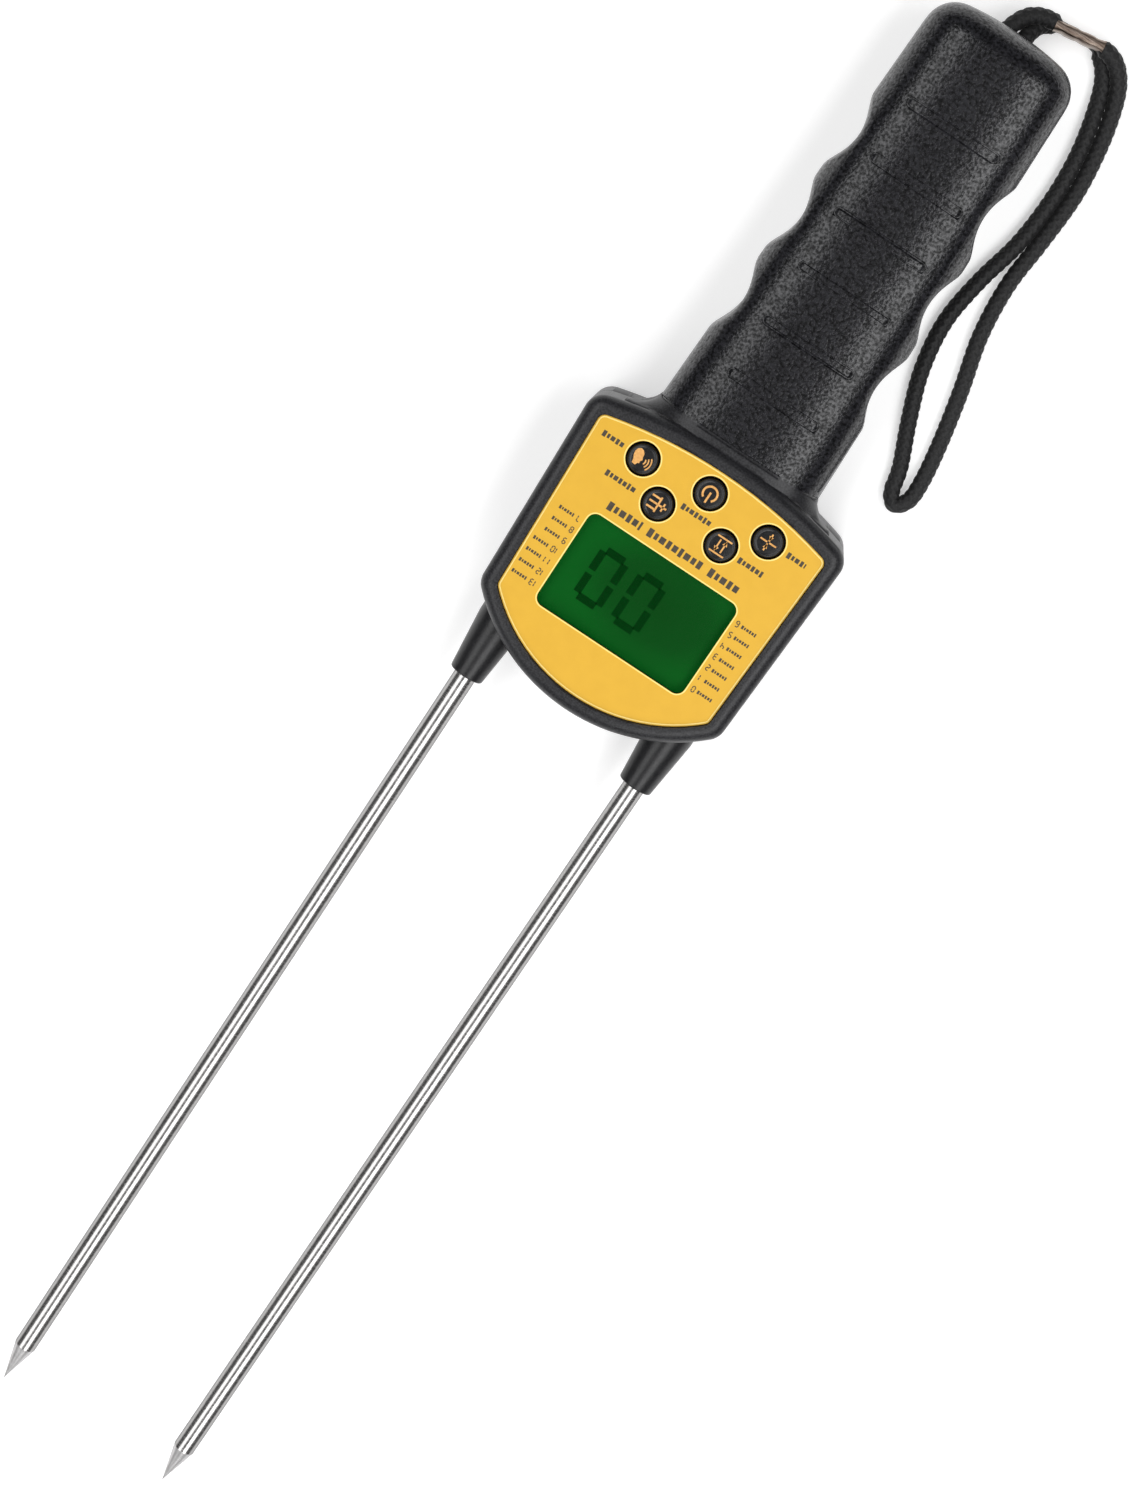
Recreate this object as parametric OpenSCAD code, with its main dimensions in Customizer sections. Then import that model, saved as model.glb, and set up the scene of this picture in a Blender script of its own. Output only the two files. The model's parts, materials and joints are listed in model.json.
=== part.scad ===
// Hand-held two-pin moisture meter, lying on its back.
// +Z leaves the face, +Y runs to the handle's end, +X is to the right of the face.
// The origin is under the middle of the overall length, on the rest surface.

/* [Overall] */
// Overall length from rod tips to the handle's end
overall_l = 445; // [440:1:450]
// Thickness of the head
head_t = 33; // [32:0.5:34]
// Thickness of the handle
handle_t = 31.6; // [31:0.2:32]
// Wall thickness of the shells
wall = 2.2; // [2:0.1:2.4]

/* [Head] */
// Half width of the head at its top corners
head_hw_top = 37.9; // [37.5:0.1:38.5]
// Half width of the head at its bottom corners
head_hw_bot = 36.2; // [35.8:0.1:36.6]
// Radius of the head's bottom arc
head_bot_r = 51.2; // [50:0.2:53]
// Radius of the head's top arc
head_top_r = 130; // [120:1:140]
// Width of the raised bezel beside and above the face
bezel_w = 4.7; // [4.6:0.1:4.8]
// Width of the raised bezel below the face
bezel_low_w = 6.4; // [6:0.1:6.8]
// Depth of the face below the bezel
face_drop = 1.6; // [1.2:0.1:1.8]

/* [Handle] */
// Half width of the handle at the seam
handle_hw = 23.5; // [23:0.1:24]
// Taper of each flank, in degrees
taper = 1.71; // [1.5:0.01:1.9]
// Radius of a finger scallop
scallop_r = 13.5; // [13:0.1:14]
// Depth of a finger scallop
scallop_d = 3; // [2.5:0.1:3.2]
// Spacing of the finger scallops
scallop_pitch = 24.1; // [23.5:0.1:24.5]
// Spacing of the cross ribs
rib_pitch = 15.3; // [15:0.1:15.5]
// Length of a cross rib
rib_l = 26; // [24:0.5:27]

/* [Keys and display] */
// Diameter of a key cap
key_d = 7.6; // [7.2:0.1:7.8]
// Diameter of a key hole
key_hole_d = 8.8; // [8.6:0.1:9]
// Travel of a key
key_travel = 0.8; // [0.5:0.1:0.8]
// Width of the display window
window_w = 43.8; // [43:0.1:44]
// Height of the display window
window_h = 27.2; // [26.8:0.1:27.6]

/* [Probe] */
// Distance between the rods
rod_gap = 52; // [52:1:52]
// Diameter of a rod
rod_d = 6; // [6:1:6]
// Length of a rod's ground tip
tip_l = 12; // [10:0.5:14]

/* [Battery door] */
// Width of the door
door_w = 26; // [25:0.5:26]

/* [Hidden] */

eps = 0.01;
y_end = overall_l / 2;
y_tip = -overall_l / 2;
split_z = 16;
seam_y = 103.3;
head_low_y = 23.2;
head_high_y = 101.5;
head_corner_r = 5;
flank_low_y = 40;
flank_high_y = 92;
neck_r = 7;
neck_low_y = 98.1;
neck_inset = 3;
neck_overlap = 0.2;
edge_r = 2.5;
edge_step = 0.8;
grip_low_y = 85;
far = 60;
seam_groove_w = 0.6;
seam_groove_d = 0.5;
boss_inset = 0.8;

// Face stack, from the bezel down
face_z = head_t - face_drop;
plate_t = 2;
plate_z = face_z - plate_t;
overlay_t = 0.4;
overlay_corner_r = 2;
overlay_fit = 0.2;
window_y = 57.7;
window_r = 2.4;
window_fit = 0.1;
window_drop = 0.3;

// Board and display stack
board_z = 21;
board_t = 1.6;
board_top = board_z + board_t;
board_hw = 27.8;
board_low_y = 47;
board_high_y = 95;
lcd_z = 26;
lcd_w = 46;
lcd_h = 31;
lcd_t = 2.8;
backlight_t = 2.1;
holder_wall = 0.6;
holder_fit = 0.1;
strip_w = 2;
touch = 0.05;

// Parts under the board: x0, x1, y0, y1 and height
CHIPS = [[-6, 6, 60, 72, 1.5], [-18, -12, 64, 69, 1.5], [11, 19, 63, 66, 2.5]];
buzzer_at = [15, 84];
buzzer_r = 3;
buzzer_h = 5;

// Keys: name order is sound, power, target, level, adjust
KEYS = [[-18.5, 88.8], [0, 90.8], [18.5, 88.8], [-9.3, 81.5], [9.3, 81.5]];
key_proud = 0.8;
key_edge_r = 0.6;
key_top = face_z + overlay_t + key_proud;
flange_top = plate_z - 0.3;
flange_t = 0.9;
flange_r = 4.9;
stem_r = 1.6;
stem_gap = 0.15;
switch_w = 5.6;
switch_base_t = 0.5;
switch_t = 0.85;
switch_top = board_top + switch_t;
stem_low = switch_top + key_travel + stem_gap;

// Handle
scallop_y = 134.1;
scallop_edge_r = 2.5;
rib_y = 118.3;
rib_w = 2.2;
rib_rise = 0.15;
rib_root = 1.5;
front_r = 12;
rear_r = 8;
end_r = 9;
end_arc_r = 85;
end_corner_r = 8;
end_hw = 20.2;

// Rods and collars
rod_x = rod_gap / 2;
rod_z = split_z;
collar_low_y = 15.5;
collar_wall_y = 32;
collar_r_low = 4.65;
collar_r = 6.2;
collar_flange_y = 42;
collar_flange_r = 6.9;
collar_flange_t = 3;
collar_fit = 0.05;
rod_shoulder_y = collar_low_y - 0.1;
rod_shank_r = 2.5;
rod_thread_r = 2;
rod_thread_y = 49;
rod_top_y = 58;
rod_fit = 0.05;
nut_d = 7.6;
nut_h = 3.2;
terminal_r = 3.6;
terminal_t = 0.8;
lead_r = 0.7;

// Battery bay
cell_d = 10.5;
cell_l = 44.5;
cell_x = 5.4;
cell_z = 9;
bay_y0 = 108;
bay_y1 = 206;
spring_l = 4;
spring_r = 3;
spring_wire_r = 0.35;
spring_turns = 3;
cell_pip_d = 3.8;
cell_pip_h = 1;
contact_t = 0.4;
contact_z = [5, 13];
door_y0 = 108;
door_low = 0.3;
door_top = 2.25;
door_gap = 0.1;
hook_y = 114;
hook_pitch = 36;
hook_l = 8;
hook_root = 3;
hook_reach = 1;
hook_lift = 0.35;
hook_top = door_top + 0.9;
tray_hw = 12.4;
tray_wall = 1.4;
tray_z = 3.4;
tray_top = 15.4;

// Screws: x and y
CASE_SCREWS = [[32, 60], [31, 88], [16.2, 170]];
BOARD_SCREWS = [[26.2, 62], [26.2, 78]];
case_screw_r = 1.15;
case_screw_l = 18;
case_head_r = 2.5;
case_head_h = 1.75;
case_head_z = 4.1;
case_boss_r = 3.4;
case_pillar_r = 2.8;
case_pilot_r = 1.2;
case_pilot_l = 9;
board_screw_r = 0.9;
board_screw_l = 6;
board_head_r = 2;
board_head_h = 1.25;
board_pillar_r = 2.2;
board_pilot_r = 0.95;
screw_slack = 0.2;
cross_slot = [2.8, 0.6];

// Speaker and its sound holes
speaker_y = 72;
speaker_r = 10;
speaker_h = 2;
magnet_r = 6;
magnet_h = 4.5;
sound_r = 0.9;
sound_ring_r = 5;

// Strap: eye pocket, pin and the cord's route
pin_y = 215;
pin_r = 1.2;
pin_low = 4.25;
pin_l = 9.5;
pocket_hw = 6;
pocket_y = 209.5;
pocket_z = [5, 13];
pocket_wall = 1.3;
cord_d = 4;
ferrule_c = [13.5, 230.8, 4.4];
ferrule_l = 13;
ferrule_turn = 8;
ferrule_w = 4.6;
ferrule_h = 8.6;
ferrule_wall = 0.5;
ferrule_fit = 0.1;
ROUTE = [
    [0, 211.6, 8.5], [-2.6, 213.2, 8.5], [-3.1, 217.5, 8.4], [-2, 223, 8.1],
    [0, 227.4, 7.4], [3.4, 229.7, 6.7], [8, 230.3, 6.4], [13.5, 230.9, 6.4],
    [19, 231.5, 6.3], [24, 230.6, 5.4], [28, 227, 4], [30.8, 221, 2.8],
    [33.3, 211.5, 2.1], [34.9, 199, 2.1], [34.5, 185, 2.1], [33.7, 172, 2.1],
    [35.2, 158, 2.1], [39, 144, 2.1], [42.2, 130, 2.1], [43.9, 119.5, 2.1],
    [43.8, 113.6, 2.1], [41.3, 110.9, 2.1], [38.9, 113.4, 2.1], [37.3, 119.5, 2.1],
    [32.3, 130.8, 2.1], [27.8, 143, 2.1], [25.8, 156, 2.1], [27.2, 169, 2.1],
    [30, 182, 2.1], [30.8, 195, 2.1], [30, 206.5, 2.1], [27.7, 217, 2.1],
    [24.3, 226, 2.1], [19.4, 230.6, 2.3], [13.5, 230.9, 2.4], [8, 230, 2.6],
    [4, 227.6, 4.4], [2.6, 222, 7.2], [3.1, 216.5, 8.5], [0.2, 211.6, 8.5]];

// ---------- helpers ----------
function arc(c, r, a0, a1, n) =
    [for (i = [0:n]) c + r * [cos(a0 + (a1 - a0) * i / n), sin(a0 + (a1 - a0) * i / n)]];

function unit(v) = v / norm(v);

function side_of(t) = unit(cross(t, abs(t[2]) > 0.9 ? [1, 0, 0] : [0, 0, 1]));

function tangent(p, i) = unit(p[min(i + 1, len(p) - 1)] - p[max(i - 1, 0)]);

function ring(c, t, r, n) =
    let (s = side_of(t), u = cross(s, t))
    [for (k = [0:n - 1]) c + r * (cos(360 * k / n) * s + sin(360 * k / n) * u)];

// A closed tube with n sides along the points p
module tube(p, r, n) {
    m = len(p);
    pts = [for (i = [0:m - 1]) each ring(p[i], tangent(p, i), r, n)];
    walls = [for (i = [0:m - 2]) for (k = [0:n - 1])
        each [[i * n + k, i * n + (k + 1) % n, (i + 1) * n + k],
              [i * n + (k + 1) % n, (i + 1) * n + (k + 1) % n, (i + 1) * n + k]]];
    first = [[for (k = [n - 1:-1:0]) k]];
    last = [[for (k = [0:n - 1]) (m - 1) * n + k]];
    polyhedron(points = pts, faces = concat(walls, first, last));
}

// Extrudes a shape drawn in X and Z along Y
module along_y(y0, y1) {
    translate([0, y1, 0]) rotate([90, 0, 0]) linear_extrude(y1 - y0) children();
}

// Extrudes a shape drawn in Y and Z along X, centred
module along_x(w) {
    rotate([90, 0, 90]) linear_extrude(w, center = true) children();
}

module both_sides() {
    children();
    mirror([1, 0, 0]) children();
}

module box(x0, x1, y0, y1, z0, z1) {
    translate([x0, y0, z0]) cube([x1 - x0, y1 - y0, z1 - z0]);
}

module rounded_rect(w, h, r) {
    x = w / 2 - r;
    y = h / 2 - r;
    polygon(concat(arc([x, y], r, 0, 90, 6), arc([-x, y], r, 90, 180, 6),
        arc([-x, -y], r, 180, 270, 6), arc([x, -y], r, 270, 360, 6)));
}

// ---------- body form ----------
// Area between the head's leaning flanks, from half widths at their low and high corners
module between_flanks(low_hw, high_hw) {
    right = [[low_hw, 0], [low_hw, flank_low_y], [high_hw, flank_high_y], [high_hw, y_end]];
    polygon(concat(right, [for (i = [3:-1:0]) [-right[i][0], right[i][1]]]));
}

// Two arcs, below and above, between two flanks, with rounded corners
module face_outline(low_y, low_r, high_y, low_hw, high_hw, corner_r) {
    offset(r = corner_r, $fn = 32) offset(r = -corner_r) intersection() {
        translate([0, low_y + low_r]) circle(low_r, $fn = 96);
        translate([0, high_y - head_top_r]) circle(head_top_r, $fn = 180);
        between_flanks(low_hw, high_hw);
    }
}

module head_outline(inset) {
    offset(r = -inset) face_outline(head_low_y, head_bot_r, head_high_y, head_hw_bot,
        head_hw_top, head_corner_r);
}

module head_slab(inset, z0, z1) {
    translate([0, 0, z0]) linear_extrude(z1 - z0) head_outline(inset);
}

module head_form() {
    hull() {
        head_slab(edge_r, 0, head_t);
        head_slab(edge_step, edge_step, head_t - edge_step);
        head_slab(0, edge_r, head_t - edge_r);
    }
}

// One flank's section in X and Z, open to the far side
module flank_section(w) {
    x = handle_hw - w;
    polygon(concat([[-far, w]],
        arc([x - rear_r + w, rear_r], rear_r - w, 270, 360, 8),
        arc([x - front_r + w, handle_t - front_r], front_r - w, 0, 90, 10),
        [[-far, handle_t - w]]));
}

module flank(w, y0) {
    translate([handle_hw, seam_y, 0]) rotate([0, 0, taper])
        translate([-handle_hw, -seam_y, 0]) along_y(y0, y_end + 10) flank_section(w);
}

function flank_x(y) = handle_hw - (y - seam_y) * tan(taper);

// Plan of the handle: two corner arcs run tangent into a wide end arc
module handle_plan(w, y0) {
    r = end_corner_r - w;
    x = end_hw - end_corner_r;
    yc = y_end - end_arc_r;
    y = yc + sqrt(pow(end_arc_r - end_corner_r, 2) - x * x);
    a = atan2(y - yc, x);
    polygon(concat([[flank_x(y0) - w, y0]],
        arc([x, y], r, 0, a, 7), arc([0, yc], end_arc_r - w, a, 180 - a, 6),
        arc([-x, y], r, 180 - a, 180, 7), [[w - flank_x(y0), y0]]));
}

module handle_side(w) {
    r = end_r - w;
    polygon(concat([[0, w]], arc([y_end - end_r, end_r], r, 270, 360, 8),
        arc([y_end - end_r, handle_t - end_r], r, 0, 90, 8), [[0, handle_t - w]]));
}

module scallops(w) {
    for (i = [0:2]) {
        y = scallop_y + i * scallop_pitch;
        both_sides() translate([flank_x(y) + scallop_r - scallop_d, y])
            circle(scallop_r + w, $fn = 90);
    }
}

// The plan with its scallops cut and their corners rounded
module gripped_plan(w, y0) {
    offset(r = scallop_edge_r, $fn = 28) offset(r = -scallop_edge_r) difference() {
        handle_plan(w, y0);
        scallops(w);
    }
}

module handle_form(w, y0) {
    intersection() {
        flank(w, y0 - 10);
        mirror([1, 0, 0]) flank(w, y0 - 10);
        linear_extrude(head_t + 1) gripped_plan(w, y0);
        along_x(2 * far) handle_side(w);
    }
}

module neck_fillets() {
    x = handle_hw + neck_r - neck_overlap;
    y = neck_low_y + neck_r;
    both_sides() translate([0, 0, neck_inset]) linear_extrude(handle_t - 2 * neck_inset)
        difference() {
            translate([end_hw, flank_high_y]) square([x - end_hw, y - flank_high_y]);
            translate([x, y]) circle(neck_r, $fn = 64);
        }
}

module outer_form() {
    head_form();
    handle_form(0, grip_low_y);
    neck_fillets();
}

module cavity() {
    head_slab(wall, wall, plate_z);
    handle_form(wall, grip_low_y);
}

// The space that bosses may fill, just inside the outer surface
module boss_limit() {
    head_slab(boss_inset, boss_inset, plate_z + boss_inset);
    handle_form(boss_inset, grip_low_y);
}

module seam_groove() {
    difference() {
        box(-far, far, seam_y - seam_groove_w / 2, seam_y + seam_groove_w / 2, -1, head_t + 1);
        handle_form(seam_groove_d, grip_low_y);
    }
}

module key_holes(z0, z1, d) {
    for (k = KEYS) translate([k[0], k[1], z0]) cylinder(d = d, h = z1 - z0, $fn = 48);
}

module collar_passages() {
    both_sides() translate([rod_x, 0, rod_z]) rotate([-90, 0, 0])
        cylinder(r = collar_r + collar_fit, h = flank_low_y, $fn = 64);
}

module overlay_outline(grow) {
    offset(r = grow) face_outline(head_low_y + bezel_low_w, head_bot_r - bezel_low_w,
        head_high_y - bezel_w, head_hw_bot - bezel_w, head_hw_top - bezel_w, overlay_corner_r);
}

// A bore or a pillar at each of the given places, on both sides
module at_screws(places, z) {
    both_sides() for (s = places) translate([s[0], s[1], z]) children();
}

// ---------- shells ----------
module front_shell() color([0.17, 0.17, 0.19]) {
    difference() {
        outer_form();
        box(-far, far, 0, y_end + 5, -1, split_z);
        cavity();
        seam_groove();
        collar_passages();
        translate([0, 0, face_z]) linear_extrude(10) overlay_outline(overlay_fit);
        key_holes(plate_z - 1, head_t, key_hole_d);
        translate([0, window_y, plate_z - 1]) linear_extrude(10)
            rounded_rect(window_w + 2 * window_fit, window_h + 2 * window_fit, window_r);
    }
    for (i = [0:5]) translate([0, rib_y + i * rib_pitch, handle_t - rib_root])
        linear_extrude(rib_root + rib_rise) rounded_rect(rib_l, rib_w, rib_w / 2 - eps);
    difference() {
        intersection() {
            boss_limit();
            at_screws(CASE_SCREWS, split_z + touch)
                cylinder(r = case_pillar_r, h = plate_z - split_z, $fn = 32);
        }
        at_screws(CASE_SCREWS, split_z - 1) cylinder(r = case_pilot_r, h = case_pilot_l, $fn = 32);
    }
    at_screws(BOARD_SCREWS, board_top) difference() {
        cylinder(r = board_pillar_r, h = plate_z - board_top + eps, $fn = 32);
        translate([0, 0, -1]) cylinder(r = board_pilot_r, h = board_screw_l, $fn = 32);
    }
}

module sound_holes() {
    translate([0, speaker_y, -1]) {
        for (a = [0:60:300]) rotate([0, 0, a]) translate([sound_ring_r, 0, 0])
            cylinder(r = sound_r, h = wall + 2, $fn = 24);
        cylinder(r = sound_r, h = wall + 2, $fn = 24);
    }
}

module strap_pocket(grow) {
    x = pocket_hw + grow;
    box(-x, x, pocket_y - grow, y_end + 5, pocket_z[0] - grow, pocket_z[1] + grow);
}

module rear_shell() color([0.15, 0.15, 0.17]) {
    difference() {
        union() {
            difference() {
                outer_form();
                box(-far, far, 0, y_end + 5, split_z, head_t + 5);
                cavity();
            }
            intersection() {
                handle_form(seam_groove_d, grip_low_y);
                strap_pocket(pocket_wall);
            }
            intersection() {
                boss_limit();
                at_screws(CASE_SCREWS, boss_inset)
                    cylinder(r = case_boss_r, h = split_z - boss_inset, $fn = 32);
            }
        }
        seam_groove();
        collar_passages();
        sound_holes();
        strap_pocket(0);
        box(-door_w / 2 - door_gap, door_w / 2 + door_gap, door_y0 - door_gap,
            y_end + 5, -1, door_top + door_gap);
        translate([0, pin_y, pin_low - touch]) cylinder(r = pin_r, h = pin_l + 2 * touch, $fn = 32);
        at_screws(CASE_SCREWS, -1) {
            cylinder(r = case_head_r + screw_slack, h = case_head_z + case_head_h + touch + 1,
                $fn = 32);
            cylinder(r = case_screw_r + screw_slack, h = split_z + 2, $fn = 32);
        }
    }
}

// ---------- face ----------
module face_overlay() color([0.94, 0.74, 0.22]) {
    difference() {
        translate([0, 0, face_z]) linear_extrude(overlay_t) overlay_outline(0);
        key_holes(face_z - 1, face_z + 2, key_hole_d);
        translate([0, window_y, face_z - 1]) linear_extrude(3)
            rounded_rect(window_w, window_h, window_r);
    }
}

module display_window() color([0.5, 0.7, 0.5, 0.4]) {
    translate([0, window_y, plate_z + window_drop]) linear_extrude(plate_t)
        rounded_rect(window_w - window_fit, window_h - window_fit, window_r);
}

module lcd_plate(w, h, z, t) {
    translate([0, window_y, z]) linear_extrude(t) square([w, h], center = true);
}

module lcd_glass() color([0.02, 0.3, 0.08]) lcd_plate(lcd_w, lcd_h, lcd_z, lcd_t);

module backlight() color([0.8, 0.95, 0.8])
    lcd_plate(lcd_w, lcd_h - 3 * strip_w, lcd_z - backlight_t - touch, backlight_t);

module lcd_holder() color([0.9, 0.9, 0.88]) difference() {
    low = board_top + touch;
    inner = [lcd_w + 2 * holder_fit, lcd_h + 2 * holder_fit];
    lcd_plate(inner[0] + 2 * holder_wall, inner[1] + 2 * holder_wall, low, plate_z - touch - low);
    lcd_plate(inner[0], inner[1], board_top - 1, 10);
}

module connector_strips() color([0.85, 0.55, 0.6]) for (s = [-1, 1])
    translate([0, window_y + s * (lcd_h - strip_w - 1) / 2, (board_top + lcd_z) / 2])
        cube([lcd_w - 2 * strip_w, strip_w, lcd_z - board_top - 2 * touch], center = true);

// ---------- board ----------
module main_board() color([0.05, 0.35, 0.15]) difference() {
    box(-board_hw, board_hw, board_low_y, board_high_y, board_z, board_top);
    at_screws(BOARD_SCREWS, board_z - 1)
        cylinder(r = board_screw_r + 1.5 * screw_slack, h = board_t + 2, $fn = 32);
}

module board_parts() color([0.1, 0.1, 0.1]) {
    for (c = CHIPS) box(c[0], c[1], c[2], c[3], board_z - c[4], board_z);
    translate([buzzer_at[0], buzzer_at[1], board_z - buzzer_h])
        cylinder(r = buzzer_r, h = buzzer_h, $fn = 32);
}

module key_switches() color([0.75, 0.75, 0.75]) for (k = KEYS)
    translate([k[0], k[1], board_top]) {
        translate([-switch_w / 2, -switch_w / 2, 0]) cube([switch_w, switch_w, switch_base_t]);
        cylinder(r = stem_r, h = switch_t, $fn = 32);
    }

module key(i) color([0.08, 0.08, 0.09]) translate([KEYS[i][0], KEYS[i][1], 0])
    rotate_extrude($fn = 64) polygon(concat([[0, stem_low], [stem_r, stem_low],
        [stem_r, flange_top - flange_t], [flange_r, flange_top - flange_t],
        [flange_r, flange_top], [key_d / 2, flange_top]],
        arc([key_d / 2 - key_edge_r, key_top - 1.5 * key_edge_r], key_edge_r, 0, 70, 4),
        [[0, key_top]]));

module key_sound() key(0);
module key_power() key(1);
module key_target() key(2);
module key_level() key(3);
module key_adjust() key(4);

module speaker() color([0.3, 0.3, 0.3]) translate([0, speaker_y, wall + 2 * touch]) {
    cylinder(r = speaker_r, h = speaker_h, $fn = 64);
    cylinder(r = magnet_r, h = magnet_h, $fn = 64);
}

// ---------- battery bay ----------
module door_hook(y) {
    x = door_w / 2;
    box(x - hook_root, x, y, y + hook_l, door_top - eps, hook_top);
    box(x - eps, x + hook_reach, y, y + hook_l, door_top + hook_lift, hook_top);
}

module battery_door() color([0.15, 0.15, 0.17]) {
    intersection() {
        handle_form(0, grip_low_y);
        box(-door_w / 2, door_w / 2, door_y0, y_end + 5, door_low, door_top);
    }
    both_sides() for (i = [0:2]) door_hook(hook_y + i * hook_pitch);
}

module battery_tray() color([0.2, 0.2, 0.2]) difference() {
    box(-tray_hw, tray_hw, bay_y0 - tray_wall, bay_y1 + tray_wall, tray_z, tray_top);
    box(tray_wall - tray_hw, tray_hw - tray_wall, bay_y0, bay_y1, tray_z - 1, tray_top - 1);
}

// Column is -1 or 1, row is 0 nearest the head; turned flips the cell
module cell(column, row, turned) color([0.75, 0.72, 0.3]) {
    y = bay_y0 + spring_l + row * (cell_l + cell_pip_h);
    translate([column * cell_x, y + (turned ? cell_l : 0), cell_z])
        rotate([turned ? 90 : -90, 0, 0]) {
            cylinder(d = cell_d, h = cell_l - cell_pip_h, $fn = 48);
            cylinder(d = cell_pip_d, h = cell_l, $fn = 32);
        }
}

module battery_1() cell(-1, 0, false);
module battery_2() cell(-1, 1, false);
module battery_3() cell(1, 0, true);
module battery_4() cell(1, 1, true);

// A coil from the contact towards its cell; way is +1 towards the handle's end
module cell_spring(column, y, way) {
    end = 360 * spring_turns;
    tube([for (a = [0:30:end]) [column * cell_x + spring_r * cos(a),
        y + way * a / end * (spring_l - 4 * spring_wire_r), cell_z + spring_r * sin(a)]],
        spring_wire_r, 6);
}

module battery_springs() color("silver") {
    inset = contact_t + spring_wire_r + touch;
    cell_spring(-1, bay_y0 + inset, 1);
    cell_spring(1, bay_y1 - inset, -1);
}

module contact(x0, x1, y) {
    box(x0, x1, y, y + contact_t, contact_z[0], contact_z[1]);
}

module battery_contacts() color("silver") {
    contact(-10, -1, bay_y0);
    contact(1, 10, bay_y0);
    contact(-10, 10, bay_y1 - contact_t);
}

// ---------- probe ----------
module about_rod(side) {
    translate([side * rod_x, 0, rod_z]) rotate([-90, 0, 0]) children();
}

module collar(side) color([0.1, 0.1, 0.11]) about_rod(side) rotate_extrude($fn = 72)
    polygon([[rod_shank_r + rod_fit, collar_low_y], [collar_r_low, collar_low_y],
        [collar_r, collar_wall_y], [collar_r, collar_flange_y],
        [collar_flange_r, collar_flange_y],
        [collar_flange_r, collar_flange_y + collar_flange_t],
        [rod_shank_r + rod_fit, collar_flange_y + collar_flange_t]]);

module collar_left() collar(-1);
module collar_right() collar(1);

module rod(side) color([0.8, 0.8, 0.82]) about_rod(side) rotate_extrude($fn = 72)
    polygon([[0, y_tip], [rod_d / 2, y_tip + tip_l], [rod_d / 2, rod_shoulder_y],
        [rod_shank_r, rod_shoulder_y], [rod_shank_r, rod_thread_y],
        [rod_thread_r, rod_thread_y], [rod_thread_r, rod_top_y], [0, rod_top_y]]);

module rod_left() rod(-1);
module rod_right() rod(1);

module rod_nuts() color("gold") for (s = [-1, 1]) about_rod(s)
    translate([0, 0, rod_thread_y + terminal_t + screw_slack]) difference() {
        cylinder(d = nut_d, h = nut_h, $fn = 6);
        translate([0, 0, -1]) cylinder(r = rod_thread_r + rod_fit, h = nut_h + 2, $fn = 32);
    }

module rod_terminals() color("silver") for (s = [-1, 1]) about_rod(s)
    translate([0, 0, rod_thread_y + screw_slack / 2]) difference() {
        union() {
            cylinder(r = terminal_r, h = terminal_t, $fn = 48);
            translate([-1.5, 2, 0]) cube([3, 5, terminal_t]);
        }
        translate([0, 0, -1]) cylinder(r = rod_thread_r + 2 * rod_fit, h = 3, $fn = 32);
    }

module rod_lead(s) tube([[s * 26, 50.6, 8.2], [s * 24, 55, 8], [s * 20, 62, 9],
    [s * 19, 70, 13], [s * 19, 74.4, 16.5], [s * 19, 75, 18.5], [s * 19, 75, board_z - touch]],
    lead_r, 6);

module lead_left() color("red") rod_lead(-1);
module lead_right() color("blue") rod_lead(1);

module battery_leads() color("maroon") for (s = [-1, 1])
    tube([[s * 5, bay_y0 - 1.6, 11], [s * 6, 100, 12], [s * 7, 94, 15], [s * 7, 90.6, 17.5],
        [s * 7, 90, 19], [s * 7, 90, board_z - touch]], lead_r, 6);

// ---------- fasteners ----------
module case_screws() color("silver") at_screws(CASE_SCREWS, case_head_z) {
    difference() {
        cylinder(r = case_head_r, h = case_head_h, $fn = 32);
        for (a = [0, 90]) rotate([0, 0, a])
            translate([-cross_slot[0] / 2, -cross_slot[1] / 2, -1])
                cube([cross_slot[0], cross_slot[1], case_head_h]);
    }
    cylinder(r = case_screw_r, h = case_screw_l, $fn = 32);
}

module board_screws() color("silver") at_screws(BOARD_SCREWS, board_z - board_head_h - touch) {
    cylinder(r = board_head_r, h = board_head_h, $fn = 32);
    cylinder(r = board_screw_r, h = board_screw_l, $fn = 32);
}

// ---------- strap ----------
module strap_pin() color("silver") translate([0, pin_y, pin_low])
    cylinder(r = pin_r - 2 * eps, h = pin_l, $fn = 32);

module strap_cord() color([0.06, 0.06, 0.06]) tube(ROUTE, cord_d / 2, 8);

module strap_ferrule() color([0.5, 0.45, 0.4]) translate(ferrule_c)
    rotate([0, 0, ferrule_turn]) along_x(ferrule_l) difference() {
        rounded_rect(ferrule_w, ferrule_h, ferrule_w / 2 - ferrule_fit);
        rounded_rect(ferrule_w - 2 * ferrule_wall, ferrule_h - 2 * ferrule_wall,
            ferrule_w / 2 - ferrule_wall - ferrule_fit);
    }

front_shell();
rear_shell();
face_overlay();
display_window();
lcd_glass();
backlight();
lcd_holder();
connector_strips();
main_board();
board_parts();
key_switches();
key_sound();
key_power();
key_target();
key_level();
key_adjust();
speaker();
battery_door();
battery_tray();
battery_1();
battery_2();
battery_3();
battery_4();
battery_springs();
battery_contacts();
collar_left();
collar_right();
rod_left();
rod_right();
rod_nuts();
rod_terminals();
lead_left();
lead_right();
battery_leads();
case_screws();
board_screws();
strap_pin();
strap_cord();
strap_ferrule();
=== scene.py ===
"""Looks of the two-pin moisture meter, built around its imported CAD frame. Lengths in metres."""
import json
import math

import bmesh
import bpy
from mathutils import Matrix, Vector

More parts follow.
